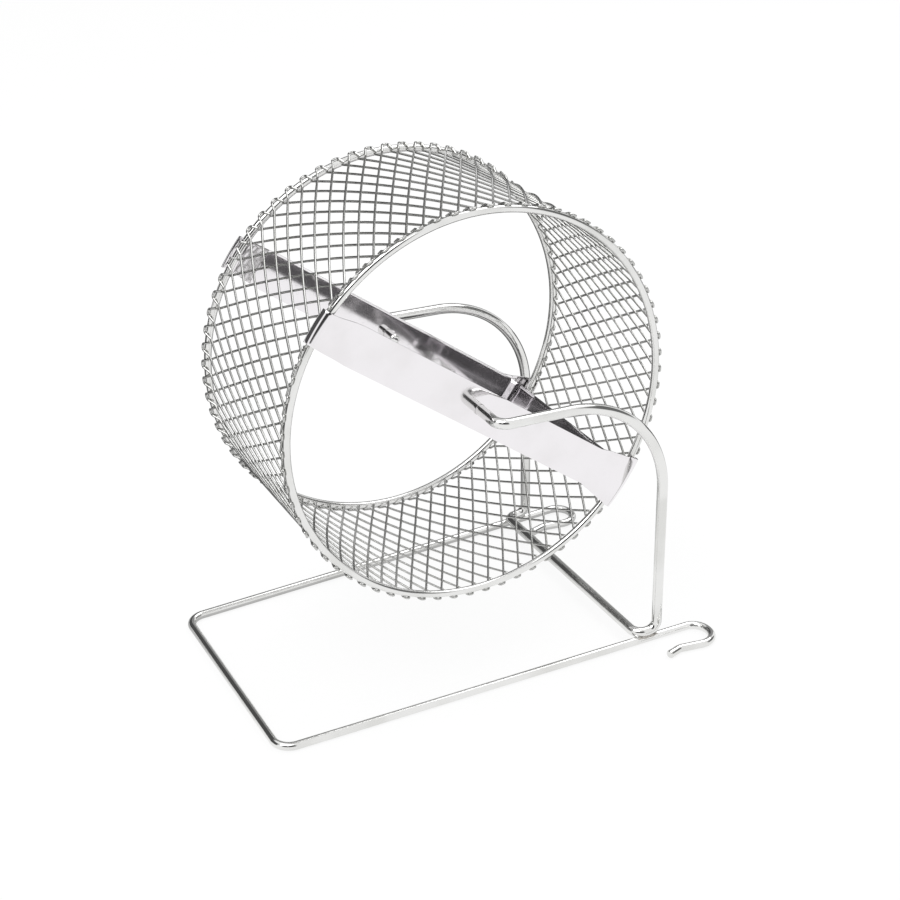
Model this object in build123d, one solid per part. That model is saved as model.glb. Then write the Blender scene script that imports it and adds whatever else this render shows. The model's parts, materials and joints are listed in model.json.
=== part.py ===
from build123d import *

import os
from math import acos, atan2, cos, hypot, pi, radians, sin, tan

# Rodent exercise wheel: a wire-mesh drum that turns on two inward pins of a bent-wire stand.
# Millimetres. The origin is on the floor, under the middle of the drum. +X points to the cage
# side (uprights and hooks), +Y along the drum's axis to the back, +Z up.

# Drum
RIM_RADIUS = 98.2
RIM_WIRE_D = 3.6
RIM_SPACING = 99.3
AXLE_HEIGHT = 148.15

# Mesh of the running surface: an inner and an outer layer of thin wires, welded where they cross
MESH_WIRE_D = 1.15
MESH_PITCHES = 70
MESH_SPANS = 12
MESH_TWIST_DEG = 31.9
MESH_PHASE_DEG = 0.05
MESH_RUN_R = 100.0
MESH_BEND_R = 2.2
LAYER_PLAY = 0.06
BUTT_REACH = 2.0

# Knuckles: the loops that the outer wires make over the rims
KNUCKLE_PITCHES = 6.5
KNUCKLE_START = 4.0
KNUCKLE_LEG = 0.8
KNUCKLE_REACH = 0.9
KNUCKLE_HEIGHT = 2.45
KNUCKLE_R = 1.3
TAIL_REACH = 3.0
TAIL_HEIGHT = 0.75

# Cross strips that carry the drum on the pins
STRIP_WIDTH = 20.0
STRIP_THICKNESS = 0.8
STRIP_TILT_DEG = -37.0
FLAT_REACH = 84.0
RAMP_REACH = 94.0
HEM_PLAY = 0.05
HEM_WRAP_DEG = 100.0
NARROW_TAB_WIDTH = 17.0
WIDE_TAB_WIDTH = 28.0
PIN_PLAY = 0.05

# Seam plate along the inside of the mesh
PLATE_WIDTH = 17.0
PLATE_THICKNESS = 0.8
PLATE_EDGE_R = 95.1

# Portal: one wire that makes both pins, arms, uprights and the crossbar
PORTAL_WIRE_D = 5.4
PORTAL_SPACING = 137.6
UPRIGHT_X = 92.5
UPRIGHT_STRAIGHT_TOP = 89.15
ARM_BEND_R = 57.2
PIN_BEND_R = 6.0
PIN_INSIDE = 8.5
PIN_TIP_R = 1.6
CROSSBAR_X = 80.4
LEG_BEND_R = 5.5
WELD_SINK = 1.05

# Base: one wire with a hook at each free end
BASE_WIRE_D = 4.3
BASE_CLOSED_X = -117.6
BASE_CLOSED_WIDTH = 128.4
BASE_SPLAY = 0.0255
BASE_CORNER_R = 9.0
HOOK_END_X = 118.4
HOOK_WIDTH = 19.2
HOOK_BEND_R = 8.6
HOOK_NECK_X = 95.8
HOOK_NECK_WIDTH = 15.4
HOOK_NECK_R = 6.0
HOOK_TIP_X = 88.2
HOOK_TIP_WIDTH = 17.6

# Places that follow from the sizes above
half_rims = RIM_SPACING / 2
base_z = BASE_WIRE_D / 2
portal_z = base_z + (BASE_WIRE_D + PORTAL_WIRE_D) / 2 - WELD_SINK
mesh_turn = MESH_TWIST_DEG / RIM_SPACING
mesh_pitch = 360 / MESH_PITCHES
layer_lift = (MESH_WIRE_D + LAYER_PLAY) / 2
knuckle_turn = KNUCKLE_PITCHES * mesh_pitch - MESH_TWIST_DEG
hem_inner_r = hypot(KNUCKLE_REACH, KNUCKLE_HEIGHT) + MESH_WIRE_D / 2 + HEM_PLAY
hem_r = hem_inner_r + STRIP_THICKNESS / 2
axle = Pos(0, 0, AXLE_HEIGHT)


def wire_along(path, diameter):
    """Round wire of one diameter swept along a path of lines and arcs."""
    section = Plane(path @ 0, z_dir=path % 0) * Circle(diameter / 2)
    return sweep(section, path=path)


def on_drum(angle_deg, y, radius):
    """Point at an angle round the drum's axis, measured from +X towards +Z."""
    a = radians(angle_deg)
    return Vector(radius * cos(a), y, radius * sin(a))


def rim(side):
    """Closed wire ring at the front (side -1) or back (side +1) of the drum."""
    ring = Pos(0, side * half_rims, 0) * Rot(90, 0, 0) * Torus(RIM_RADIUS, RIM_WIRE_D / 2)
    return axle * ring


def mesh_run(hand, reach, spans):
    """Points of a mesh wire on its own layer of the drum, from front to back."""
    radius = RIM_RADIUS - hand * layer_lift
    places = [reach * (2 * n / spans - 1) for n in range(spans + 1)]
    return [on_drum(hand * mesh_turn * y, y, radius) for y in places]


def knuckle(side):
    """Corners of an outer wire's loop over a rim, from the wire's run to the loop's end."""
    at_rim = mesh_turn * half_rims
    back = at_rim + knuckle_turn
    corners = [
        (KNUCKLE_LEG, KNUCKLE_HEIGHT, at_rim - mesh_turn * KNUCKLE_LEG),
        (-KNUCKLE_REACH, KNUCKLE_HEIGHT, at_rim),
        (-KNUCKLE_REACH, KNUCKLE_HEIGHT, back),
        (KNUCKLE_LEG, KNUCKLE_HEIGHT, back + mesh_turn * KNUCKLE_LEG),
        (TAIL_REACH, TAIL_HEIGHT, back + mesh_turn * TAIL_REACH),
    ]
    return [on_drum(-side * turn, side * (half_rims - inward), RIM_RADIUS + height)
            for inward, height, turn in corners]


def inner_mesh_wire():
    """Left-hand wire of the inner layer, butted against the rims at both ends."""
    points = mesh_run(1, half_rims - BUTT_REACH, MESH_SPANS)
    radii = [MESH_RUN_R] * (len(points) - 2)
    return wire_along(FilletPolyline(*points, radius=radii), MESH_WIRE_D)


def outer_mesh_wire():
    """Right-hand wire of the outer layer, looped over the rims at both ends."""
    run = mesh_run(-1, half_rims - KNUCKLE_START, MESH_SPANS)
    front, back = knuckle(-1), knuckle(1)
    loop_radii = [KNUCKLE_R] * (len(back) - 1)
    run_radii = [MESH_BEND_R] + [MESH_RUN_R] * (len(run) - 2) + [MESH_BEND_R]
    path = FilletPolyline(*(front[::-1] + run + back), radius=loop_radii + run_radii + loop_radii)
    return wire_along(path, MESH_WIRE_D)


def round_the_drum(wire, phase_deg):
    """Copies of a mesh wire, one for each pitch of the mesh."""
    turns = [-(phase_deg + n * mesh_pitch) for n in range(MESH_PITCHES)]
    return Compound(children=[axle * Rot(0, turn, 0) * wire for turn in turns])


def tab_outline(end_width, direction):
    """Trapezium, seen along the axle, that trims one hemmed end of a strip."""
    start = FLAT_REACH - STRIP_THICKNESS
    end = RIM_RADIUS + hem_r + STRIP_THICKNESS
    half_start = STRIP_WIDTH / 2
    corners = [(start, -half_start), (end, -end_width / 2), (end, end_width / 2), (start, half_start)]
    face = make_face(Polyline(*[(direction * x, z) for x, z in corners], close=True))
    return Rot(90, 0, 0) * extrude(face, amount=RIM_SPACING, both=True)


def hem(side):
    """Sheet turned about the axle: a ramp past the rim's outer side and a curl over the rim."""
    plane_y = side * half_rims
    outer_y = side * (half_rims + hem_r)
    wrap = radians(HEM_WRAP_DEG)
    middle = wrap / 2
    ramp = Polyline((FLAT_REACH, plane_y), (RAMP_REACH, outer_y), (RIM_RADIUS, outer_y))
    curl = ThreePointArc(
        (RIM_RADIUS, outer_y),
        (RIM_RADIUS + hem_r * sin(middle), plane_y + side * hem_r * cos(middle)),
        (RIM_RADIUS + hem_r * sin(wrap), plane_y + side * hem_r * cos(wrap)),
    )
    centre_line = Wire(list(ramp.edges()) + [curl])
    section = trace(centre_line, line_width=STRIP_THICKNESS)
    return revolve(section, axis=Axis.Y, revolution_arc=360)


def strip(side):
    """Flat cross strip with a pin hole in the middle and a hem over the rim at each end."""
    bar = Box(2 * FLAT_REACH, STRIP_THICKNESS, STRIP_WIDTH)
    body = Pos(0, side * half_rims, 0) * bar
    ring = hem(side)
    body += ring & tab_outline(NARROW_TAB_WIDTH, -1)
    body += ring & tab_outline(WIDE_TAB_WIDTH, 1)
    hole = Rot(90, 0, 0) * Cylinder(PORTAL_WIRE_D / 2 + PIN_PLAY, 2 * RIM_SPACING)
    return axle * Rot(0, -STRIP_TILT_DEG, 0) * (body - hole)


def seam_plate(strips):
    """Flat plate along the drum inside the mesh, trimmed to the strips' ramps."""
    outer_s = (PLATE_EDGE_R ** 2 - (PLATE_WIDTH / 2) ** 2) ** 0.5
    place = Pos(outer_s - PLATE_THICKNESS / 2, 0, 0)
    plate = place * Box(PLATE_THICKNESS, 2 * (half_rims + hem_r), PLATE_WIDTH)
    plate = axle * Rot(0, -STRIP_TILT_DEG, 0) * plate
    for piece in strips:
        plate -= piece
    return max(plate.solids(), key=lambda solid: solid.volume)


def base_path():
    """Centre line of the base wire, from the front hook's tip to the back hook's tip."""

    def rail(x, side):
        return side * (BASE_CLOSED_WIDTH / 2 + BASE_SPLAY * (x - BASE_CLOSED_X))

    hook = [
        (HOOK_TIP_X, HOOK_TIP_WIDTH),
        (HOOK_NECK_X, HOOK_NECK_WIDTH),
        (HOOK_END_X, HOOK_WIDTH),
        (HOOK_END_X, 0),
    ]
    front = [(x, rail(HOOK_END_X, -1) - width) for x, width in hook]
    back = [(x, rail(HOOK_END_X, 1) - width) for x, width in reversed(hook)]
    closed = [(BASE_CLOSED_X, rail(BASE_CLOSED_X, side)) for side in (-1, 1)]
    hook_radii = [HOOK_NECK_R, HOOK_BEND_R, HOOK_BEND_R]
    radii = hook_radii + [BASE_CORNER_R] * len(closed) + hook_radii[::-1]
    points = [(x, y, base_z) for x, y in front + closed + back]
    return FilletPolyline(*points, radius=radii)


def portal_path():
    """Centre line of the portal wire, from the front pin's tip to the back pin's tip."""
    rise_x = UPRIGHT_X - ARM_BEND_R
    rise_z = AXLE_HEIGHT - UPRIGHT_STRAIGHT_TOP
    reach = hypot(rise_x, rise_z)
    turn = atan2(rise_z, -rise_x) - acos(ARM_BEND_R / reach)
    corner_z = UPRIGHT_STRAIGHT_TOP + ARM_BEND_R * tan(turn / 2)
    tip_y = half_rims - STRIP_THICKNESS / 2 - PIN_INSIDE
    half = PORTAL_SPACING / 2
    front = [
        (0, -tip_y, AXLE_HEIGHT),
        (0, -half, AXLE_HEIGHT),
        (UPRIGHT_X, -half, corner_z),
        (UPRIGHT_X, -half, portal_z),
        (CROSSBAR_X, -half, portal_z),
    ]
    back = [(x, -y, z) for x, y, z in reversed(front)]
    radii = [PIN_BEND_R, ARM_BEND_R, LEG_BEND_R, LEG_BEND_R]
    return FilletPolyline(*(front + back), radius=radii + radii[::-1])


def portal(base):
    """Portal wire with rounded pin tips, set down into the base wire where the two are welded."""
    path = portal_path()
    body = wire_along(path, PORTAL_WIRE_D)
    ends = [edge for edge in body.edges().filter_by(GeomType.CIRCLE)
            if abs(edge.center().X) < PORTAL_WIRE_D and abs(edge.center().Y) < half_rims]
    return fillet(ends, PIN_TIP_R) - base


def write(name, shape):
    """Write one node and print what it holds."""
    export_step(shape, f"parts/{name}.step")
    print(f"{name}: {len(shape.solids())} solids, {shape.volume:.1f} mm3")


def main():
    os.makedirs("parts", exist_ok=True)
    base_line = base_path()
    base_wire = wire_along(base_line, BASE_WIRE_D)
    portal_wire = portal(base_wire)
    front_strip, back_strip = strip(-1), strip(1)
    write("base_wire", base_wire)
    write("portal_wire", portal_wire)
    write("front_rim", rim(-1))
    write("back_rim", rim(1))
    write("front_strip", front_strip)
    write("back_strip", back_strip)
    write("seam_plate", seam_plate([front_strip, back_strip]))
    write("mesh_wires_left_hand", round_the_drum(inner_mesh_wire(), MESH_PHASE_DEG))
    right_phase = MESH_PHASE_DEG - mesh_pitch / 2
    write("mesh_wires_right_hand", round_the_drum(outer_mesh_wire(), right_phase))
    for name, line, diameter in (
        ("base wire", base_line, BASE_WIRE_D),
        ("portal wire", portal_path(), PORTAL_WIRE_D),
    ):
        volume = line.length * pi * diameter ** 2 / 4
        print(f"{name}: {line.length:.1f} mm long, section times length {volume:.1f} mm3")


if __name__ == "__main__":
    main()
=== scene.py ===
"""Rodent exercise wheel: a wire mesh drum turning on the bent-in ends of a wire stand."""

import json
import logging
import math
from dataclasses import dataclass, field, replace
from enum import Enum
from typing import Iterable, Sequence

import bmesh
import bpy
from mathutils import Matrix, Vector


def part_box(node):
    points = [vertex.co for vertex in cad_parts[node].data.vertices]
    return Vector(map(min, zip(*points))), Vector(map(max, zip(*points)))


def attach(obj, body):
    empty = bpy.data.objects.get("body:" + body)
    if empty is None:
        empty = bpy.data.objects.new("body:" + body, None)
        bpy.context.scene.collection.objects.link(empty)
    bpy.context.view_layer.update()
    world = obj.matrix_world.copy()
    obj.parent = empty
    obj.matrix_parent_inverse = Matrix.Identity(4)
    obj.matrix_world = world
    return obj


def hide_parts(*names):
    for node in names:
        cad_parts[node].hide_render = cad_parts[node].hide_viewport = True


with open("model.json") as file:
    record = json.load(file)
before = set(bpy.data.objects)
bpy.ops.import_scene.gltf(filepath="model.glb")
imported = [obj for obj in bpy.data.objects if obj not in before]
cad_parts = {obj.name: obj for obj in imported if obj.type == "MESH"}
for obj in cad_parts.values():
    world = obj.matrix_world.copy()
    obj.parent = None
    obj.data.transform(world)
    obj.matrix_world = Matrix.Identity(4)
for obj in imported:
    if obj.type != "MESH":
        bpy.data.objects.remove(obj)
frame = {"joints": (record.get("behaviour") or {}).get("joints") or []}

log = logging.getLogger("wheel")
MM = 0.001

# Sizes that the stand and the drum share
PORTAL_WIRE = 5.4 * MM
SHEET_THICKNESS = 0.8 * MM

# Short names of types. A station is a point, a tangent, a direction across the wire and a radius.
Colour = tuple[float, float, float, float]
Station = tuple[Vector, Vector, Vector, float]
Material = bpy.types.Material
Mesh = bpy.types.Mesh
Object = bpy.types.Object
Socket = bpy.types.NodeSocket
Tree = bpy.types.NodeTree


class Side(Enum):
    """The two ends of the drum along its axle."""

    FRONT = -1
    BACK = 1


class Hand(Enum):
    """The two families of mesh wires, by the way that they climb round the drum."""

    LEFT = 1
    RIGHT = -1


class Slot(Enum):
    """Material slots of the record."""

    PLATED_WIRE = "plated_wire"
    RIM_WIRE = "rim_wire"
    SHEET = "polished_sheet"
    MESH_WIRE = "mesh_wire"


# Shader building


@dataclass
class Graph:
    """A node tree with short calls to add nodes and join them.

    Attributes:
        tree: The shader or geometry node tree that is written to.
    """

    tree: Tree

    def node(self, kind: str, **settings: object) -> bpy.types.Node:
        """Adds a node.

        Args:
            kind: The node's type name.
            **settings: Properties of the node, by name.

        Returns:
            The new node.
        """
        made = self.tree.nodes.new(kind)
        for name, value in settings.items():
            setattr(made, name, value)
        return made

    def link(self, source: Socket, target: Socket) -> None:
        """Joins an output to an input."""
        self.tree.links.new(source, target)

    def feed(self, target: Socket, value: object) -> None:
        """Gives an input its value.

        Args:
            target: The input.
            value: An output to link, or a plain value to set.
        """
        if isinstance(value, Socket):
            self.link(value, target)
        else:
            target.default_value = value

    def result(self, kind: str, output: str | int, inputs: dict[str | int, object],
               **settings: object) -> Socket:
        """Adds a node, feeds its inputs and gives one of its outputs.

        Args:
            kind: The node's type name.
            output: Name or number of the wanted output.
            inputs: Outputs to link or plain values, by the input's name or number.
            **settings: Properties of the node, by name.

        Returns:
            The output.
        """
        made = self.node(kind, **settings)
        for name, value in inputs.items():
            self.feed(made.inputs[name], value)
        return made.outputs[output]

    def math(self, operation: str, a: object, b: object = 0.0) -> Socket:
        """Adds a math node and returns its output."""
        return self.result("ShaderNodeMath", 0, {0: a, 1: b}, operation=operation)

    def smooth_step(self, value: Socket, low: float, high: float) -> Socket:
        """Maps a value to 0 at low and 1 at high, with a smooth step between them."""
        inputs = {"Value": value, "From Min": low, "From Max": high}
        return self.result("ShaderNodeMapRange", "Result", inputs, interpolation_type="SMOOTHSTEP")

    def mix(self, factor: object, a: object, b: object) -> Socket:
        """Mixes two colours and returns the result."""
        return self.result("ShaderNodeMix", "Result", {"Factor": factor, "A": a, "B": b}, data_type="RGBA")

    def noise(self, vector: Socket, scale: float, detail: float) -> Socket:
        """Adds a noise texture and returns its value."""
        return self.result("ShaderNodeTexNoise", "Fac", {"Vector": vector, "Scale": scale, "Detail": detail})


def grey(level: float) -> Colour:
    """Opaque neutral colour of one level."""
    return (level, level, level, 1.0)


def blank_graph(owner: Material | bpy.types.World) -> Graph:
    """Gives a material or a world an empty node tree.

    Args:
        owner: The material or world.

    Returns:
        A graph on its tree.
    """
    owner.use_nodes = True
    owner.node_tree.nodes.clear()
    return Graph(owner.node_tree)


def new_group(name: str, kind: str, inputs: dict[str, tuple[str, object]],
              outputs: dict[str, str]) -> Graph:
    """Makes a node group with named sockets.

    Args:
        name: The group's name.
        kind: The tree's type name.
        inputs: Socket type and default value (or None) by input name.
        outputs: Socket type by output name.

    Returns:
        A graph on the new group, with its input and output nodes made.
    """
    tree = bpy.data.node_groups.new(name, kind)
    for label, (socket, default) in inputs.items():
        made = tree.interface.new_socket(name=label, in_out="INPUT", socket_type=socket)
        if default is not None:
            made.default_value = default
    for label, socket in outputs.items():
        tree.interface.new_socket(name=label, in_out="OUTPUT", socket_type=socket)
    graph = Graph(tree)
    graph.node("NodeGroupInput", name="in")
    graph.node("NodeGroupOutput", name="out")
    return graph


def draw_lines_group() -> Tree:
    """Fine lines that the drawing die leaves along a wire, read from a piece's own UV map.

    Returns:
        The group. The map's U runs round the wire and its V along it, in metres.
    """
    graph = new_group(
        "DrawLines", "ShaderNodeTree",
        {"Around": ("NodeSocketFloat", 6.0), "Along": ("NodeSocketFloat", 22.0)},
        {"Height": "NodeSocketFloat"},
    )
    given, sink = graph.tree.nodes["in"].outputs, graph.tree.nodes["out"]
    uv = graph.node("ShaderNodeUVMap", uv_map="UVMap").outputs["UV"]
    split = graph.node("ShaderNodeSeparateXYZ")
    graph.link(uv, split.inputs[0])
    turn = graph.math("MULTIPLY", split.outputs["X"], math.tau)
    stretched = graph.result("ShaderNodeCombineXYZ", "Vector", {
        "X": graph.math("MULTIPLY", graph.math("COSINE", turn), given["Around"]),
        "Y": graph.math("MULTIPLY", graph.math("SINE", turn), given["Around"]),
        "Z": graph.math("MULTIPLY", split.outputs["Y"], given["Along"]),
    })
    graph.link(graph.noise(stretched, scale=1.0, detail=5.0), sink.inputs["Height"])
    return graph.tree


def handling_group() -> Tree:
    """Faint stains and dull spots of handled plating, as a colour, a roughness and a height.

    Returns:
        The group, which reads object coordinates.
    """
    graph = new_group(
        "Handling", "ShaderNodeTree",
        {
            "Metal": ("NodeSocketColor", grey(0.8)),
            "Stain": ("NodeSocketColor", grey(0.6)),
            "Polish": ("NodeSocketFloat", 0.1),
            "Dullness": ("NodeSocketFloat", 0.1),
        },
        {"Color": "NodeSocketColor", "Roughness": "NodeSocketFloat", "Height": "NodeSocketFloat"},
    )
    given, sink = graph.tree.nodes["in"].outputs, graph.tree.nodes["out"]
    place = graph.node("ShaderNodeTexCoord").outputs["Object"]
    cloud = graph.smooth_step(graph.noise(place, scale=38.0, detail=4.0), low=0.42, high=0.72)
    speck = graph.smooth_step(graph.noise(place, scale=420.0, detail=2.0), low=0.60, high=0.74)
    strongest_stain = 0.55
    stain = graph.math("MULTIPLY", cloud, strongest_stain)
    graph.link(graph.mix(stain, given["Metal"], given["Stain"]), sink.inputs["Color"])
    dull = graph.math("MULTIPLY", graph.math("MAXIMUM", cloud, speck), given["Dullness"])
    graph.link(graph.math("ADD", given["Polish"], dull), sink.inputs["Roughness"])
    graph.link(graph.noise(place, scale=95.0, detail=2.0), sink.inputs["Height"])
    return graph.tree


@dataclass(frozen=True)
class MetalFinish:
    """A plated or polished metal.

    Attributes:
        name: The material's name.
        metal: Base colour of the clean metal.
        stain: Base colour of its faint stains.
        polish: Roughness of the clean metal.
        dullness: Roughness that stains and specks add.
        ripple: Depth of slow unevenness, in metres.
        line_depth: Depth of draw lines, in metres, or 0 where the piece has none.
        ior: Index of refraction.
    """

    name: str
    metal: Colour
    stain: Colour
    polish: float
    dullness: float
    ripple: float
    line_depth: float = 0.0
    ior: float = 1.5

    def material(self, handling: Tree, lines: Tree) -> Material:
        """Builds the material.

        Args:
            handling: The shared group of stains.
            lines: The shared group of draw lines.

        Returns:
            The new material.
        """
        made = bpy.data.materials.new(self.name)
        graph = blank_graph(made)
        marks = graph.node("ShaderNodeGroup", node_tree=handling)
        for label in ("Metal", "Stain", "Polish", "Dullness"):
            marks.inputs[label].default_value = getattr(self, label.lower())
        uneven = {"Distance": self.ripple, "Height": marks.outputs["Height"]}
        normal = graph.result("ShaderNodeBump", "Normal", uneven)
        if self.line_depth:
            drawn = graph.node("ShaderNodeGroup", node_tree=lines).outputs["Height"]
            lined = {"Distance": self.line_depth, "Height": drawn, "Normal": normal}
            normal = graph.result("ShaderNodeBump", "Normal", lined)
        shader = graph.result("ShaderNodeBsdfPrincipled", "BSDF", {
            "Metallic": 1.0,
            "IOR": self.ior,
            "Base Color": marks.outputs["Color"],
            "Roughness": marks.outputs["Roughness"],
            "Normal": normal,
        })
        graph.link(shader, graph.node("ShaderNodeOutputMaterial").inputs["Surface"])
        return made


@dataclass
class Finishes:
    """All materials of the object, by slot, and the welds' own."""

    by_slot: dict[Slot, Material] = field(default_factory=dict)
    weld: Material | None = None

    def build(self) -> "Finishes":
        """Makes every material from the two shared groups.

        Returns:
            This object.
        """
        handling, lines = handling_group(), draw_lines_group()
        plating = MetalFinish(
            name="PlatedWire", metal=(0.80, 0.80, 0.79, 1), stain=(0.66, 0.66, 0.64, 1),
            polish=0.08, dullness=0.10, ripple=0.02 * MM, line_depth=0.02 * MM,
        )
        polished = MetalFinish(
            name="PolishedSheet", metal=(0.86, 0.84, 0.86, 1), stain=(0.78, 0.76, 0.77, 1),
            polish=0.06, dullness=0.05, ripple=0.01 * MM,
        )
        thin_wire = MetalFinish(
            name="MeshWire", metal=(0.56, 0.56, 0.55, 1), stain=(0.42, 0.42, 0.40, 1),
            polish=0.14, dullness=0.12, ripple=0.03 * MM,
        )
        weld = MetalFinish(
            name="WeldMetal", metal=(0.52, 0.50, 0.47, 1), stain=(0.28, 0.25, 0.22, 1),
            polish=0.28, dullness=0.25, ripple=0.3 * MM,
        )
        recipes = {
            Slot.PLATED_WIRE: plating,
            Slot.RIM_WIRE: replace(plating, name="RimWire"),
            Slot.SHEET: polished,
            Slot.MESH_WIRE: thin_wire,
        }
        self.by_slot = {slot: recipe.material(handling, lines) for slot, recipe in recipes.items()}
        self.weld = weld.material(handling, lines)
        return self


# Mesh building


def add_piece(mesh: Mesh, name: str, material: Material, body: str,
              stands_for: Sequence[str] = ()) -> Object:
    """Puts a finished mesh in the scene as a piece of the object.

    Args:
        mesh: The piece's mesh, in place in metres.
        name: The piece's name.
        material: Its only material.
        body: The body that it rides on.
        stands_for: CAD nodes that it replaces.

    Returns:
        The new object.
    """
    mesh.materials.clear()
    mesh.materials.append(material)
    made = in_scene(mesh, name)
    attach(made, body)
    if stands_for:
        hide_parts(*stands_for)
    log.info("%s: %d faces on %s", name, len(mesh.polygons), body)
    return made


def rounded_path(corners: Sequence[Vector], radii: Sequence[float], step: float,
                 fewest: int = 6) -> list[Vector]:
    """Straight runs joined by tangent arcs.

    Args:
        corners: End points and corners, in order.
        radii: One arc radius for each inner corner.
        step: Longest distance between two points on an arc, in metres.
        fewest: Least number of steps on an arc.

    Returns:
        Points along the path.
    """
    path = [corners[0]]
    for before, corner, after, radius in zip(corners, corners[1:], corners[2:], radii):
        back, ahead = (before - corner).normalized(), (after - corner).normalized()
        half = back.angle(ahead) / 2
        turn = math.pi - 2 * half
        tangent = radius / math.tan(half)
        centre = corner + (back + ahead).normalized() * (radius / math.sin(half))
        axis = (corner - before).cross(after - corner).normalized()
        spoke = corner + back * tangent - centre
        count = max(fewest, math.ceil(radius * turn / step))
        for i in range(count + 1):
            path.append(centre + Matrix.Rotation(turn * i / count, 3, axis) @ spoke)
    path.append(corners[-1])
    return path


def with_steps(path: Sequence[Vector], longest: float) -> list[Vector]:
    """Adds points on the straight runs of a path.

    Args:
        path: Points along the path.
        longest: Longest step that is left, in metres.

    Returns:
        The path with its new points.
    """
    made = [path[0]]
    for a, b in zip(path, path[1:]):
        count = max(1, math.ceil((b - a).length / longest))
        made += [a.lerp(b, i / count) for i in range(1, count + 1)]
    return made


def wire_stations(path: Sequence[Vector], radius: float, closed: bool) -> list[Station]:
    """Frames along a wire, which twist no more than its path does.

    Args:
        path: Points along the wire's middle.
        radius: The wire's radius.
        closed: Whether the path's end meets its start.

    Returns:
        Point, tangent, a direction across the wire and radius, for each point of the path.
    """
    count = len(path)
    tangents = []
    for i in range(count):
        ahead = path[(i + 1) % count] if closed or i + 1 < count else path[i]
        behind = path[i - 1] if closed or i else path[i]
        tangents.append((ahead - behind).normalized())
    across = tangents[0].orthogonal().normalized()
    stations = []
    for point, tangent in zip(path, tangents):
        across = (across - tangent * across.dot(tangent)).normalized()
        stations.append((point, tangent, across, radius))
    return stations


def rounded_tip(station: Station, tip: float, way: int, steps: int = 6) -> list[Station]:
    """Stations that round a wire's end off.

    Args:
        station: Point, tangent, across and radius at the wire's end.
        tip: Radius of the rounding.
        way: -1 at the start of the wire and 1 at its end.
        steps: Number of steps round the tip.

    Returns:
        The stations in the wire's order.
    """
    point, tangent, across, radius = station
    made = []
    for i in range(steps + 1):
        a = math.pi / 2 * i / steps
        inward = tip * (1 - math.sin(a))
        size = radius - tip * (1 - math.cos(a))
        made.append((point - tangent * way * inward, tangent, across, size))
    return made if way > 0 else made[::-1]


def tube(path: Sequence[Vector], radius: float, sides: int, closed: bool = False,
         tip: float = 0.0) -> Mesh:
    """Round wire along a path, with a UV map that runs round it and along it.

    Args:
        path: Points along the wire's middle.
        radius: The wire's radius.
        sides: Number of faces round the wire.
        closed: Whether the path's end meets its start.
        tip: Radius that rounds the two ends off, for an open wire.

    Returns:
        The mesh.
    """
    stations = wire_stations(path, radius, closed)
    if not closed and tip:
        stations = rounded_tip(stations[0], tip, -1) + stations[1:-1] + rounded_tip(stations[-1], tip, 1)
    bm = bmesh.new()
    angles = [math.tau * k / sides for k in range(sides)]
    rings, lengths, run, last = [], [], 0.0, stations[0][0]
    for point, tangent, across, size in stations:
        over = tangent.cross(across)
        run += (point - last).length
        last = point
        lengths.append(run)
        spokes = [across * math.cos(a) + over * math.sin(a) for a in angles]
        rings.append([bm.verts.new(point + spoke * size) for spoke in spokes])
    uv = bm.loops.layers.uv.new("UVMap")
    spans = len(rings) if closed else len(rings) - 1
    for i in range(spans):
        near, far = rings[i], rings[(i + 1) % len(rings)]
        end = lengths[i + 1] if i + 1 < len(rings) else run + (path[0] - path[-1]).length
        for k in range(sides):
            face = bm.faces.new((near[k], near[(k + 1) % sides], far[(k + 1) % sides], far[k]))
            face.smooth = True
            marks = ((k, lengths[i]), (k + 1, lengths[i]), (k + 1, end), (k, end))
            for loop, (u, v) in zip(face.loops, marks):
                loop[uv].uv = (u / sides, v)
    if not closed:
        bm.faces.new(list(reversed(rings[0]))).smooth = True
        bm.faces.new(rings[-1]).smooth = True
    return mesh_from(bm, "tube")


def mesh_from(bm: bmesh.types.BMesh, name: str) -> Mesh:
    """Turns an edit mesh into a mesh and frees it.

    Args:
        bm: The edit mesh.
        name: The new mesh's name.

    Returns:
        The mesh.
    """
    mesh = bpy.data.meshes.new(name)
    bm.to_mesh(mesh)
    bm.free()
    return mesh


def plain_copy(host: Object, name: str) -> Mesh:
    """Turns an object with live modifiers into a plain mesh and removes the object.

    Args:
        host: The object.
        name: The new mesh's name.

    Returns:
        The mesh.
    """
    bpy.context.view_layer.update()
    evaluated = host.evaluated_get(bpy.context.evaluated_depsgraph_get())
    mesh = bpy.data.meshes.new_from_object(evaluated)
    mesh.name = name
    bpy.data.objects.remove(host)
    return mesh


def in_scene(data: bpy.types.ID, name: str) -> Object:
    """Puts a mesh, a lamp or a camera in the scene.

    Args:
        data: The mesh, lamp or camera.
        name: The new object's name.

    Returns:
        The new object.
    """
    made = bpy.data.objects.new(name, data)
    bpy.context.scene.collection.objects.link(made)
    return made


# Sub-assemblies


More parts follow.
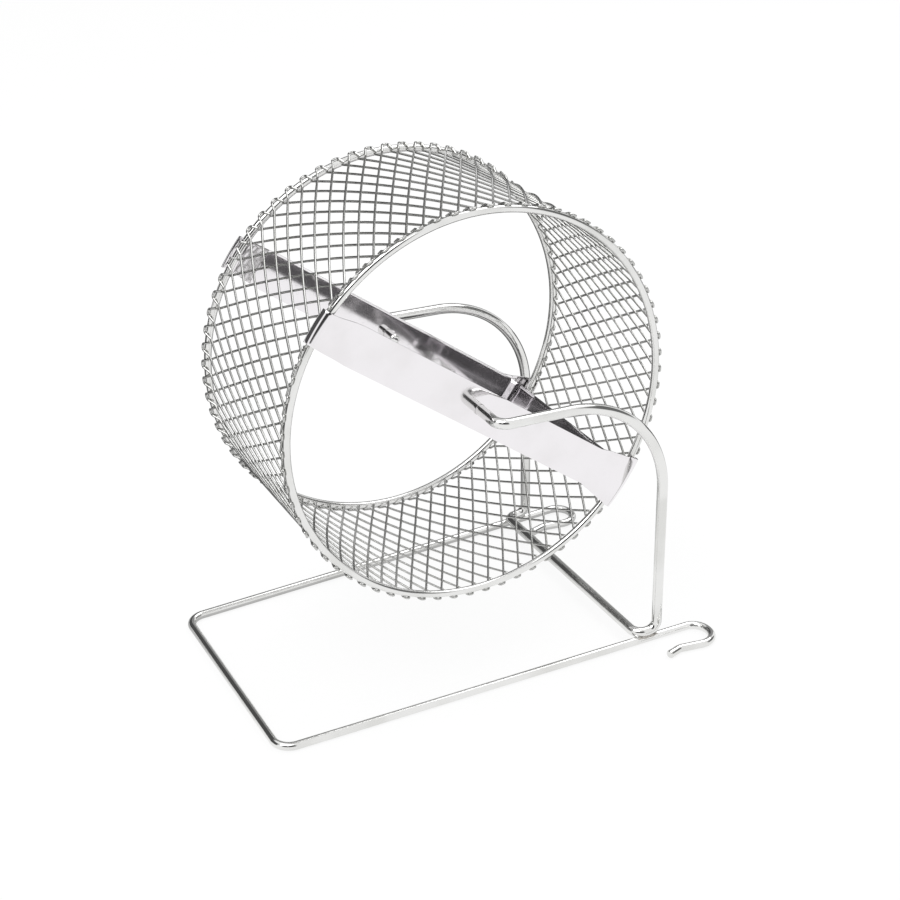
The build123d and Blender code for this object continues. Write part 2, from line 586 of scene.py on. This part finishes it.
@dataclass
class Sheet:
    """A piece of sheet metal built from a grid of points.

    Attributes:
        thickness: The sheet's thickness.
        edge: Radius that its cut edges are broken to.
        cut_angle: Least angle between faces at a cut edge.
        crease_angle: Least angle between faces that are shaded apart.
    """

    thickness: float
    edge: float = 0.15 * MM
    cut_angle: float = math.radians(50)
    crease_angle: float = math.radians(40)

    def solid(self, grid: Sequence[Sequence[Vector]], name: str,
              cutter: Object | None = None) -> Mesh:
        """Thickens a grid of middle-surface points into a closed sheet with soft edges.

        Args:
            grid: Rows of points.
            name: The mesh's name.
            cutter: Solid that is cut out of the sheet, if any.

        Returns:
            The finished mesh.
        """
        bm = bmesh.new()
        rows = [[bm.verts.new(p) for p in row] for row in grid]
        for near, far in zip(rows, rows[1:]):
            for k in range(len(near) - 1):
                bm.faces.new((near[k], near[k + 1], far[k + 1], far[k]))
        bmesh.ops.recalc_face_normals(bm, faces=bm.faces)
        host = in_scene(mesh_from(bm, name), name)
        thick = host.modifiers.new("thick", "SOLIDIFY")
        thick.thickness = self.thickness
        thick.offset = 0.0
        thick.use_even_offset = True
        if cutter is not None:
            cut = host.modifiers.new("cut", "BOOLEAN")
            cut.operation = "DIFFERENCE"
            cut.object = cutter
            cut.solver = "EXACT"
        soft = host.modifiers.new("soft", "BEVEL")
        soft.width = self.edge
        soft.segments = 2
        soft.limit_method = "ANGLE"
        soft.angle_limit = self.cut_angle
        made = plain_copy(host, name)
        made.polygons.foreach_set("use_smooth", [True] * len(made.polygons))
        made.set_sharp_from_angle(angle=self.crease_angle)
        return made


@dataclass(frozen=True)
class WeldBead:
    """Squeezed-out metal along one flank of a weld, as a wavy ellipsoid.

    Attributes:
        rise: Height of its middle, as a share of the base wire's diameter.
        aside: Distance of its middle from the rail's, as a share of the same.
        half_width: Half of its width.
        half_height: Half of its height.
        slow_wave: Size, rate along the bead and shift to each flank of its slow wave.
        quick_wave: Size, rate along the bead and rate across it of its quick wave.
        subdivisions: Fineness of its mesh.
    """

    rise: float = 0.93
    aside: float = 0.30
    half_width: float = 0.9 * MM
    half_height: float = 0.8 * MM
    slow_wave: tuple[float, float, float] = (0.16, 9.0, 2.0)
    quick_wave: tuple[float, float, float] = (0.10, 23.0, 5.0)
    subdivisions: int = 4

    def swell(self, p: Vector, flank: int) -> float:
        """Factor on the bead's width and height.

        Args:
            p: Point of the unit ball that the bead is made from.
            flank: -1 or 1, for the two flanks of the weld.

        Returns:
            The factor.
        """
        slow, along, shift = self.slow_wave
        quick, fast, across = self.quick_wave
        return 1 + slow * math.sin(along * p.x + shift * flank) + quick * math.sin(fast * p.x + across * p.y)


@dataclass
class Stand:
    """The bent-wire stand: a base wire with hooks, and a portal wire with both pins."""

    finishes: Finishes
    axle_height: float
    base_wire: float
    portal_wire: float
    half_rims: float

    # Base wire, with its hooks' corners given along the rail and out from it
    closed_x: float = -117.6 * MM
    closed_width: float = 128.4 * MM
    splay: float = 0.0255
    corner_radius: float = 9.0 * MM
    hook_end_x: float = 118.4 * MM
    hook_width: float = 19.2 * MM
    hook_bend_radius: float = 8.6 * MM
    hook_neck: tuple[float, float] = (95.8 * MM, 15.4 * MM)
    hook_neck_radius: float = 6.0 * MM
    hook_tip: tuple[float, float] = (88.2 * MM, 17.6 * MM)
    base_tip_radius: float = 0.7 * MM

    # Portal wire
    spacing: float = 137.6 * MM
    upright_x: float = 92.5 * MM
    straight_top: float = 89.15 * MM
    arm_radius: float = 57.2 * MM
    pin_bend_radius: float = 6.0 * MM
    pin_inside: float = 8.5 * MM
    pin_tip_radius: float = 1.6 * MM
    strip_thickness: float = SHEET_THICKNESS
    crossbar_x: float = 80.4 * MM
    leg_radius: float = 5.5 * MM

    # Welds
    weld_sink: float = 1.05 * MM
    bead: WeldBead = WeldBead()

    # Fineness of the meshes
    arc_step: float = 0.6 * MM
    run_step: float = 6.0 * MM
    sides: int = 40

    def rail_y(self, x: float, side: Side) -> float:
        """Middle line of one rail of the base wire at a place along it."""
        return side.value * (self.closed_width / 2 + self.splay * (x - self.closed_x))

    def base_path(self) -> list[Vector]:
        """Middle line of the base wire.

        Returns:
            Points from the front hook's tip to the back hook's.
        """
        z = self.base_wire / 2
        hook_end = [(self.hook_end_x, self.hook_width), (self.hook_end_x, 0.0)]
        hook = [self.hook_tip, self.hook_neck] + hook_end
        front_y = self.rail_y(self.hook_end_x, Side.FRONT)
        back_y = self.rail_y(self.hook_end_x, Side.BACK)
        corners = [Vector((x, front_y - width, z)) for x, width in hook]
        corners += [Vector((self.closed_x, self.rail_y(self.closed_x, side), z)) for side in Side]
        corners += [Vector((x, back_y - width, z)) for x, width in reversed(hook)]
        hook_radii = [self.hook_neck_radius, self.hook_bend_radius, self.hook_bend_radius]
        radii = hook_radii + [self.corner_radius] * 2 + hook_radii[::-1]
        return rounded_path(corners, radii, self.arc_step)

    def portal_path(self) -> list[Vector]:
        """Middle line of the portal wire.

        Returns:
            Points from the front pin's tip to the back pin's.
        """
        rise_x = self.upright_x - self.arm_radius
        rise_z = self.axle_height - self.straight_top
        reach = math.hypot(rise_x, rise_z)
        turn = math.atan2(rise_z, -rise_x) - math.acos(self.arm_radius / reach)
        corner_z = self.straight_top + self.arm_radius * math.tan(turn / 2)
        tip_y = self.half_rims - self.strip_thickness / 2 - self.pin_inside
        leg_z = self.leg_height()
        half = self.spacing / 2
        front = [
            (0.0, -tip_y, self.axle_height),
            (0.0, -half, self.axle_height),
            (self.upright_x, -half, corner_z),
            (self.upright_x, -half, leg_z),
            (self.crossbar_x, -half, leg_z),
        ]
        back = [(x, -y, z) for x, y, z in reversed(front)]
        radii = [self.pin_bend_radius, self.arm_radius, self.leg_radius, self.leg_radius]
        return rounded_path([Vector(p) for p in front + back], radii + radii[::-1], self.arc_step)

    def leg_height(self) -> float:
        """Height of the portal wire's middle where it lies in the base wire."""
        return self.base_wire / 2 + (self.base_wire + self.portal_wire) / 2 - self.weld_sink

    def weld_seam(self, side: Side) -> Mesh:
        """Squeezed-out metal along both flanks of the contact between leg and rail.

        Args:
            side: Which leg.

        Returns:
            The mesh of both beads.
        """
        bm = bmesh.new()
        bead = self.bead
        middle_x = (self.crossbar_x + self.upright_x) / 2
        half_length = (self.upright_x - self.crossbar_x) / 2
        rail_y = self.rail_y(middle_x, side)
        z = self.base_wire * bead.rise
        for flank in (-1, 1):
            ball = bmesh.ops.create_icosphere(bm, subdivisions=bead.subdivisions, radius=1.0)
            y = rail_y + flank * self.base_wire * bead.aside
            for vert in ball["verts"]:
                p = vert.co
                swell = bead.swell(p, flank)
                aside, above = p.y * bead.half_width * swell, p.z * bead.half_height * swell
                vert.co = Vector((middle_x + p.x * half_length, y + aside, z + above))
        for face in bm.faces:
            face.smooth = True
        return mesh_from(bm, "weld")

    def wire(self, path: Sequence[Vector], diameter: float, tip: float) -> Mesh:
        """Open wire of the stand along a path, with rounded ends."""
        return tube(with_steps(path, self.run_step), diameter / 2, self.sides, tip=tip)

    def build(self) -> None:
        """Makes the stand's pieces and puts them on the stand's body."""
        slot = Slot.PLATED_WIRE
        metal = self.finishes.by_slot[slot]
        base = self.wire(self.base_path(), self.base_wire, self.base_tip_radius)
        add_piece(base, "BaseWire", metal, "stand", ["base_wire"])
        portal = self.wire(self.portal_path(), self.portal_wire, self.pin_tip_radius)
        add_piece(portal, "PortalWire", metal, "stand", ["portal_wire"])
        for side in Side:
            name = f"LegWeld_{side.name.lower()}"
            add_piece(self.weld_seam(side), name, self.finishes.weld, "stand")


@dataclass
class Drum:
    """The running drum: two rims, two cross strips, the seam plate and the wire mesh."""

    finishes: Finishes
    axle_height: float
    half_rims: float
    rim_radius: float
    rim_wire: float
    portal_wire: float

    # Mesh wires, in two layers that cross
    mesh_wire: float = 1.15 * MM
    pitches: int = 70
    twist: float = math.radians(31.9)
    phase: float = math.radians(0.05)
    layer_play: float = 0.06 * MM
    butt_reach: float = 2.0 * MM

    # Knuckles, the loops that the outer wires make over the rims
    knuckle_pitches: float = 6.5
    knuckle_start: float = 4.0 * MM
    knuckle_leg: float = 0.8 * MM
    knuckle_reach: float = 0.9 * MM
    knuckle_height: float = 2.45 * MM
    knuckle_radius: float = 1.3 * MM
    bend_radius: float = 2.2 * MM
    tail: tuple[float, float] = (3.0 * MM, 0.75 * MM)

    # Cross strips: a flat part, a ramp and a hem at each end, and a pin hole in the middle
    strip_width: float = 20.0 * MM
    sheet: Sheet = field(default_factory=lambda: Sheet(SHEET_THICKNESS))
    tilt: float = math.radians(-37.0)
    flat_reach: float = 84.0 * MM
    ramp_reach: float = 94.0 * MM
    fold_lead: float = 6.0 * MM
    fold_radii: tuple[float, float] = (5.0 * MM, 4.0 * MM)
    hem_play: float = 0.05 * MM
    hem_wrap: float = math.radians(100.0)
    narrow_tab: float = 17.0 * MM
    wide_tab: float = 28.0 * MM
    pin_play: float = 0.05 * MM
    cutter_reach: float = 6.0 * MM

    # Seam plate, whose ends reach past the rims by a share of the hem's radius
    plate_width: float = 17.0 * MM
    plate_edge_radius: float = 95.1 * MM
    plate_end_share: float = 0.72

    # Fineness of the meshes
    arc_step: float = 0.5 * MM
    rim_points: int = 420
    rim_sides: int = 28
    hem_steps: int = 14
    strip_rows: int = 60
    strip_columns: int = 14
    hole_sides: int = 64
    plate_rows: int = 40
    plate_columns: int = 8
    wire_spans: int = 40
    wire_sides: int = 8

    @property
    def pitch(self) -> float:
        """Angle between two neighbouring wires of one hand."""
        return math.tau / self.pitches

    @property
    def hem_radius(self) -> float:
        """Radius of the sheet's middle where a strip is hemmed over a rim and its knuckles."""
        knuckle = math.hypot(self.knuckle_reach, self.knuckle_height) + self.mesh_wire / 2
        return knuckle + self.hem_play + self.sheet.thickness / 2

    def placed(self, along: float, y: float, across: float) -> Vector:
        """Point given along and across the strips' line, turned to the strips' tilt."""
        c, s = math.cos(self.tilt), math.sin(self.tilt)
        return Vector((along * c - across * s, y, self.axle_height + along * s + across * c))

    def rim(self, side: Side) -> Mesh:
        """One closed wire ring.

        Args:
            side: Which rim.

        Returns:
            The mesh.
        """
        y = side.value * self.half_rims
        path = []
        for i in range(self.rim_points):
            a = math.tau * i / self.rim_points
            across, up = self.rim_radius * math.cos(a), self.rim_radius * math.sin(a)
            path.append(Vector((across, y, self.axle_height + up)))
        return tube(path, self.rim_wire / 2, self.rim_sides, closed=True)

    def half_profile(self) -> list[tuple[float, float]]:
        """Middle line of a strip from its flat part to the end of its hem.

        Returns:
            Reach along the strip and offset out from the drum, for each point.
        """
        hem = self.hem_radius
        flat = self.flat_reach
        folds = [(flat - self.fold_lead, 0.0), (flat, 0.0), (self.ramp_reach, hem), (self.rim_radius, hem)]
        points = rounded_path([Vector((*p, 0.0)) for p in folds], self.fold_radii, self.arc_step)
        for i in range(1, self.hem_steps + 1):
            a = self.hem_wrap * i / self.hem_steps
            points.append(Vector((self.rim_radius + hem * math.sin(a), hem * math.cos(a), 0.0)))
        return [(p.x, p.y) for p in points]

    def across_strip(self, half_width: float) -> list[float]:
        """Places across a strip, from edge to edge."""
        return [half_width * (2 * k / self.strip_columns - 1) for k in range(self.strip_columns + 1)]

    def tab_row(self, reach: float, offset: float, side: Side, direction: int,
                end_width: float) -> list[Vector]:
        """Points across a strip at one reach, which bend to the rim's curve towards the hem.

        Args:
            reach: Distance from the strip's middle.
            offset: Distance out from the rim's middle.
            side: Which strip.
            direction: -1 or 1, for the strip's two ends.
            end_width: Width at the end of the hem.

        Returns:
            The points.
        """
        start = self.flat_reach - self.fold_lead
        share = min(1.0, max(0.0, (reach - start) / (self.rim_radius - start)))
        curve = share * share * (3 - 2 * share)
        half = (self.strip_width + (end_width - self.strip_width) * share) / 2
        row = []
        for q in self.across_strip(half):
            round_reach = math.sqrt(reach * reach - q * q)
            along = reach + (round_reach - reach) * curve
            row.append(self.placed(direction * along, side.value * (self.half_rims + offset), q))
        return row

    def strip(self, side: Side) -> Mesh:
        """One cross strip with its pin hole and its two hems.

        Args:
            side: Which strip.

        Returns:
            The mesh.
        """
        profile = self.half_profile()
        rows = [self.tab_row(r, o, side, -1, self.narrow_tab) for r, o in reversed(profile)]
        reach, y = profile[0][0], side.value * self.half_rims
        for i in range(1, self.strip_rows):
            along = -reach + 2 * reach * i / self.strip_rows
            rows.append([self.placed(along, y, q) for q in self.across_strip(self.strip_width / 2)])
        rows += [self.tab_row(r, o, side, 1, self.wide_tab) for r, o in profile]
        cutter = self.hole_cutter(y)
        made = self.sheet.solid(rows, f"strip_{side.name.lower()}", cutter)
        bpy.data.objects.remove(cutter)
        return made

    def hole_cutter(self, y: float) -> Object:
        """Round bar that cuts a pin hole.

        Args:
            y: Place of the strip along the axle.

        Returns:
            The bar, which goes when the hole is cut.
        """
        ends = [Vector((0, y + way * self.cutter_reach, self.axle_height)) for way in (-1, 1)]
        mesh = tube(ends, self.portal_wire / 2 + self.pin_play, self.hole_sides)
        made = in_scene(mesh, "hole_cutter")
        made.hide_render = True
        return made

    def seam_plate(self) -> Mesh:
        """Flat plate inside the mesh, from one strip's ramp to the other's.

        Returns:
            The mesh.
        """
        edge = math.sqrt(self.plate_edge_radius ** 2 - (self.plate_width / 2) ** 2)
        along = edge - self.sheet.thickness / 2
        reach = self.half_rims + self.hem_radius * self.plate_end_share
        places = [self.plate_width * (k / self.plate_columns - 0.5) for k in range(self.plate_columns + 1)]
        rows = []
        for i in range(self.plate_rows + 1):
            y = reach * (2 * i / self.plate_rows - 1)
            rows.append([self.placed(along, y, q) for q in places])
        return self.sheet.solid(rows, "seam_plate")

    def wire_path(self, hand: Hand) -> list[Vector]:
        """Middle line of one mesh wire, about the axle's middle.

        A left-hand wire lies in the inner layer and butts against the rims. A right-hand wire lies
        in the outer layer and ends in a knuckle over each rim.

        Args:
            hand: Which family.

        Returns:
            Points from front to back.
        """
        reach = self.half_rims - (self.butt_reach if hand is Hand.LEFT else self.knuckle_start)
        height = -hand.value * (self.mesh_wire + self.layer_play) / 2
        turn = hand.value * self.twist / (2 * self.half_rims)
        places = [reach * (2 * n / self.wire_spans - 1) for n in range(self.wire_spans + 1)]
        run = [self.drum_point(turn * y, y, height) for y in places]
        if hand is Hand.LEFT:
            return run
        front = self.knuckle(Side.FRONT, run[1::-1])
        back = self.knuckle(Side.BACK, run[-2:])
        return front[::-1] + run[2:-2] + back

    def knuckle(self, side: Side, lead: Sequence[Vector]) -> list[Vector]:
        """Loop of a right-hand wire over a rim.

        Args:
            side: Which rim.
            lead: The last two points of the wire's run before the loop.

        Returns:
            Points from the run to the loop's end.
        """
        turn = self.twist / (2 * self.half_rims)
        at_rim = turn * self.half_rims
        back = at_rim + self.knuckle_pitches * self.pitch - self.twist
        leg, reach, height = self.knuckle_leg, self.knuckle_reach, self.knuckle_height
        corners = [
            (leg, height, at_rim - turn * leg),
            (-reach, height, at_rim),
            (-reach, height, back),
            (leg, height, back + turn * leg),
            (self.tail[0], self.tail[1], back + turn * self.tail[0]),
        ]
        points = list(lead) + [
            self.drum_point(-side.value * angle, side.value * (self.half_rims - inward), rise)
            for inward, rise, angle in corners
        ]
        radii = [self.bend_radius] + [self.knuckle_radius] * (len(corners) - 1)
        return rounded_path(points, radii, self.arc_step)

    def drum_point(self, angle: float, y: float, rise: float) -> Vector:
        """Point about the axle's middle, a little off the rims' radius."""
        radius = self.rim_radius + rise
        return Vector((radius * math.cos(angle), y, radius * math.sin(angle)))

    def wire_family(self, hand: Hand, tree: Tree) -> Mesh:
        """All mesh wires of one hand, laid out by the node tree.

        Args:
            hand: Which family.
            tree: The tree that thickens one wire and repeats it round the axle.

        Returns:
            The plain mesh.
        """
        path = self.wire_path(hand)
        mesh = bpy.data.meshes.new("wire_path")
        mesh.from_pydata(path, [(i, i + 1) for i in range(len(path) - 1)], [])
        host = in_scene(mesh, "wire_path")
        weave = host.modifiers.new("weave", "NODES")
        weave.node_group = tree
        values = {
            "Count": self.pitches,
            "Wire Radius": self.mesh_wire / 2,
            "Sides": self.wire_sides,
            "Axle Height": self.axle_height,
            "Pitch": self.pitch,
            "Phase": self.phase if hand is Hand.LEFT else self.phase - self.pitch / 2,
            "Metal": self.finishes.by_slot[Slot.MESH_WIRE],
        }
        for item in tree.interface.items_tree:
            if item.item_type == "SOCKET" and item.in_out == "INPUT" and item.name in values:
                weave[item.identifier] = values[item.name]
        return plain_copy(host, f"wires_{hand.name.lower()}")

    def put(self, mesh: Mesh, name: str, slot: Slot, node: str) -> None:
        """Adds a piece of the wheel's body in the finish of its slot."""
        add_piece(mesh, name, self.finishes.by_slot[slot], "wheel", [node])

    def build(self) -> None:
        """Makes the drum's pieces and puts them on the wheel's body."""
        for side in Side:
            end = side.name.lower()
            self.put(self.rim(side), f"Rim_{end}", Slot.RIM_WIRE, f"{end}_rim")
            self.put(self.strip(side), f"CrossStrip_{end}", Slot.SHEET, f"{end}_strip")
        self.put(self.seam_plate(), "SeamPlate", Slot.SHEET, "seam_plate")
        tree = weave_tree()
        for hand in Hand:
            family = f"{hand.name.lower()}_hand"
            wires = self.wire_family(hand, tree)
            self.put(wires, f"MeshWires_{family}", Slot.MESH_WIRE, f"mesh_wires_{family}")


def weave_tree() -> Tree:
    """Node tree that turns one wire's middle line into a family of wires round the axle.

    Returns:
        The geometry node tree, with named inputs.
    """
    graph = new_group(
        "WireFamily", "GeometryNodeTree",
        {
            "Geometry": ("NodeSocketGeometry", None),
            "Count": ("NodeSocketInt", 70),
            "Wire Radius": ("NodeSocketFloat", 0.0006),
            "Sides": ("NodeSocketInt", 8),
            "Axle Height": ("NodeSocketFloat", 0.15),
            "Pitch": ("NodeSocketFloat", 0.09),
            "Phase": ("NodeSocketFloat", 0.0),
            "Metal": ("NodeSocketMaterial", None),
        },
        {"Geometry": "NodeSocketGeometry"},
    )
    given, sink = graph.tree.nodes["in"].outputs, graph.tree.nodes["out"]
    curve = graph.result("GeometryNodeMeshToCurve", "Curve", {"Mesh": given["Geometry"]})
    section = {"Resolution": given["Sides"], "Radius": given["Wire Radius"]}
    circle = graph.result("GeometryNodeCurvePrimitiveCircle", "Curve", section)
    skin = {"Curve": curve, "Profile Curve": circle, "Fill Caps": True}
    wire = graph.result("GeometryNodeCurveToMesh", "Mesh", skin)
    axle = graph.result("ShaderNodeCombineXYZ", "Vector", {"Z": given["Axle Height"]})
    points = graph.result("GeometryNodePoints", 0, {"Count": given["Count"], "Position": axle})
    index = graph.node("GeometryNodeInputIndex").outputs["Index"]
    climb = graph.math("MULTIPLY", index, given["Pitch"])
    turn = graph.math("MULTIPLY", graph.math("ADD", climb, given["Phase"]), -1.0)
    angles = graph.result("ShaderNodeCombineXYZ", "Vector", {"Y": turn})
    rotation = graph.result("FunctionNodeEulerToRotation", "Rotation", {"Euler": angles})
    spread = {"Points": points, "Instance": wire, "Rotation": rotation}
    copies = graph.result("GeometryNodeInstanceOnPoints", "Instances", spread)
    joined = graph.result("GeometryNodeRealizeInstances", "Geometry", {"Geometry": copies})
    smooth = graph.result("GeometryNodeSetShadeSmooth", "Geometry", {"Geometry": joined})
    finish = {"Geometry": smooth, "Material": given["Metal"]}
    graph.link(graph.result("GeometryNodeSetMaterial", "Geometry", finish), sink.inputs["Geometry"])
    return graph.tree


# Studio


@dataclass(frozen=True)
class Panel:
    """A grey area of the studio that shiny metal mirrors.

    Attributes:
        azimuth: Middle of the panel, in degrees from +Y towards +X.
        half_width: Half of its width, in degrees.
        low: Elevation of its lower edge, in degrees.
        high: Elevation of its upper edge, in degrees.
        level: How bright it is, where 1 is white.
        softness: Width of its soft edge, in degrees.
    """

    azimuth: float
    half_width: float
    low: float
    high: float
    level: float
    softness: float = 8.0


@dataclass(frozen=True)
class Lamp:
    """A large soft lamp.

    Attributes:
        name: The lamp's name.
        place: Its middle, in metres.
        size: Length of its side, in metres.
        power: Its power, in watts.
    """

    name: str
    place: tuple[float, float, float]
    size: float
    power: float


@dataclass
class Studio:
    """Plain pale floor, soft lights, a white backdrop and the camera."""

    # Floor: light that it gives back, share of it that glows for the camera and for metal, and
    # the stretch along Y over which its mirror image fades to a painted grey shade behind the object
    floor_half: float = 6.0
    floor_colour: float = 0.9
    floor_glow: float = 0.86
    mirrored_shade_span: tuple[float, float] = (-0.03, 0.16)
    mirrored_shade_level: float = 0.10

    # World
    ambient: float = 0.85
    panels: tuple[Panel, ...] = (
        Panel(-34.0, 52.0, 2.0, 46.0, 0.08),
        Panel(40.0, 16.0, 2.0, 40.0, 0.30),
        Panel(-150.0, 30.0, 10.0, 46.0, 0.05),
        Panel(108.0, 24.0, 4.0, 36.0, 0.16),
    )

    # Lamps
    lamps: tuple[Lamp, ...] = (
        Lamp("KeyLamp", (-0.9, -0.5, 1.9), 1.3, 16.0),
        Lamp("FillLamp", (1.1, 0.4, 1.8), 1.1, 9.0),
    )
    lamp_aim: tuple[float, float, float] = (0.0, 0.0, 0.12)

    # Camera, with its angles in degrees and its lens and sensor in millimetres
    camera_place: tuple[float, float, float] = (-0.3444, -0.6952, 0.51775)
    yaw: float = 26.953
    pitch: float = 28.115
    roll: float = 1.191
    lens: float = 69.7
    sensor: float = 36.0
    clip: tuple[float, float] = (0.05, 50.0)

    def camera(self) -> None:
        """Sets the camera at the photograph's viewing angle."""
        yaw, pitch, roll = (math.radians(a) for a in (self.yaw, self.pitch, self.roll))
        level = Vector((math.cos(yaw), -math.sin(yaw), 0.0))
        flat = math.cos(pitch)
        ahead = Vector((math.sin(yaw) * flat, math.cos(yaw) * flat, -math.sin(pitch)))
        below = ahead.cross(level)
        right = level * math.cos(roll) + below * math.sin(roll)
        up = -(below * math.cos(roll) - level * math.sin(roll))
        data = bpy.data.cameras.new("Camera")
        data.lens = self.lens
        data.sensor_width = self.sensor
        data.clip_start, data.clip_end = self.clip
        made = in_scene(data, "Camera")
        turned = Matrix((right, up, -ahead)).transposed().to_4x4()
        made.matrix_world = Matrix.Translation(self.camera_place) @ turned
        bpy.context.scene.camera = made

    def seen_plainly(self, graph: Graph) -> Socket:
        """Tells rays that show the studio from diffuse ones.

        Args:
            graph: The material's or world's graph.

        Returns:
            1 for rays from the camera, from gloss and from glass, and 0 for diffuse light.
        """
        path = graph.node("ShaderNodeLightPath")
        total = graph.math("ADD", path.outputs["Is Camera Ray"], path.outputs["Is Glossy Ray"])
        return graph.math("MINIMUM", graph.math("ADD", total, path.outputs["Is Transmission Ray"]), 1.0)

    def panel_share(self, graph: Graph, panel: Panel, x: Socket, y: Socket, elevation: Socket) -> Socket:
        """Tells whether a direction points at a panel.

        Args:
            graph: The world's graph.
            panel: The panel.
            x: The direction's X.
            y: The direction's Y.
            elevation: Its angle above the horizon, in degrees.

        Returns:
            0 outside the panel and 1 inside it, with a soft edge.
        """
        c, s = math.cos(math.radians(panel.azimuth)), math.sin(math.radians(panel.azimuth))
        ahead = graph.math("ADD", graph.math("MULTIPLY", x, s), graph.math("MULTIPLY", y, c))
        aside = graph.math("SUBTRACT", graph.math("MULTIPLY", x, c), graph.math("MULTIPLY", y, s))
        off = graph.math("DEGREES", graph.math("ABSOLUTE", graph.math("ARCTAN2", aside, ahead)))
        inside = graph.smooth_step(off, panel.half_width + panel.softness, panel.half_width)
        above = graph.smooth_step(elevation, panel.low, panel.low + panel.softness)
        under = graph.smooth_step(elevation, panel.high + panel.softness, panel.high)
        return graph.math("MULTIPLY", inside, graph.math("MULTIPLY", above, under))

    def world(self) -> None:
        """White for the camera, white with grey panels for metal, and pale grey as plain light."""
        world = bpy.data.worlds.new("Studio")
        bpy.context.scene.world = world
        graph = blank_graph(world)
        direction = graph.node("ShaderNodeSeparateXYZ")
        graph.link(graph.node("ShaderNodeTexCoord").outputs["Generated"], direction.inputs[0])
        x, y, z = (direction.outputs[axis] for axis in "XYZ")
        elevation = graph.math("DEGREES", graph.math("ARCSINE", z))
        colour: object = grey(1.0)
        for panel in self.panels:
            share = self.panel_share(graph, panel, x, y, elevation)
            colour = graph.mix(share, colour, grey(panel.level))
        path = graph.node("ShaderNodeLightPath")
        shown = graph.mix(path.outputs["Is Camera Ray"], colour, grey(1.0))
        light = graph.mix(self.seen_plainly(graph), grey(self.ambient), shown)
        back = graph.result("ShaderNodeBackground", "Background", {"Color": light})
        graph.link(back, graph.node("ShaderNodeOutputWorld").inputs["Surface"])

    def floor(self) -> None:
        """White floor with a faint shadow, which metal mirrors with a painted grey shade behind the object.
        """
        material = bpy.data.materials.new("PaleFloor")
        graph = blank_graph(material)
        place = graph.node("ShaderNodeSeparateXYZ")
        graph.link(graph.node("ShaderNodeTexCoord").outputs["Object"], place.inputs[0])
        # Painted shade: only rays from metal see the floor as grey behind the object
        behind = graph.smooth_step(place.outputs["Y"], *self.mirrored_shade_span)
        glossy = graph.node("ShaderNodeLightPath").outputs["Is Glossy Ray"]
        mirrored_shade = graph.math("MULTIPLY", behind, glossy)
        far = grey(self.mirrored_shade_level)
        matt_colour = graph.mix(mirrored_shade, grey(self.floor_colour), far)
        matt = graph.result("ShaderNodeBsdfDiffuse", "BSDF", {"Color": matt_colour})
        glow_colour = graph.mix(mirrored_shade, grey(1.0), far)
        glow = graph.result("ShaderNodeEmission", "Emission", {"Color": glow_colour})
        share = graph.math("MULTIPLY", self.seen_plainly(graph), self.floor_glow)
        mixed = graph.result("ShaderNodeMixShader", "Shader", {"Fac": share, 1: matt, 2: glow})
        graph.link(mixed, graph.node("ShaderNodeOutputMaterial").inputs["Surface"])
        mesh = bpy.data.meshes.new("floor")
        h = self.floor_half
        mesh.from_pydata([(-h, -h, 0), (h, -h, 0), (h, h, 0), (-h, h, 0)], [], [(0, 1, 2, 3)])
        mesh.materials.append(material)
        made = in_scene(mesh, "Floor")

    def hang_lamps(self) -> None:
        """Hangs the large soft lamps overhead."""
        for lamp in self.lamps:
            data = bpy.data.lights.new(lamp.name, "AREA")
            data.size = lamp.size
            data.energy = lamp.power
            made = in_scene(data, lamp.name)
            made.location = lamp.place
            aim = Vector(self.lamp_aim) - Vector(lamp.place)
            made.rotation_euler = aim.to_track_quat("-Z", "Y").to_euler()

    def build(self) -> None:
        """Makes the floor, the lights, the backdrop and the camera."""
        bpy.context.scene.view_settings.view_transform = "Standard"
        self.floor()
        self.world()
        self.hang_lamps()
        self.camera()


def corners(found: Iterable[Vector]) -> list[list[float]]:
    """Box corners as plain lists."""
    return [[round(float(c), 6) for c in corner] for corner in found]


def box_size(node: str) -> Vector:
    """Size of a CAD node along each axis."""
    low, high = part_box(node)
    return high - low


def main() -> None:
    """Builds the studio, the stand and the drum round the frame."""
    logging.basicConfig(level=logging.INFO, format="%(message)s")
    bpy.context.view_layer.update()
    axle_height = frame["joints"][0]["pos_m"][2]
    rim_box, rim_low = box_size("front_rim"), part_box("front_rim")[0]
    rim_wire = rim_box.y
    half_rims = -(rim_low.y + rim_wire / 2)
    rim_radius = (rim_box.x - rim_wire) / 2
    Studio().build()
    finishes = Finishes().build()
    Stand(finishes, axle_height, box_size("base_wire").z, PORTAL_WIRE, half_rims).build()
    Drum(finishes, axle_height, half_rims, rim_radius, rim_wire, PORTAL_WIRE).build()


if __name__ == "__main__":
    main()
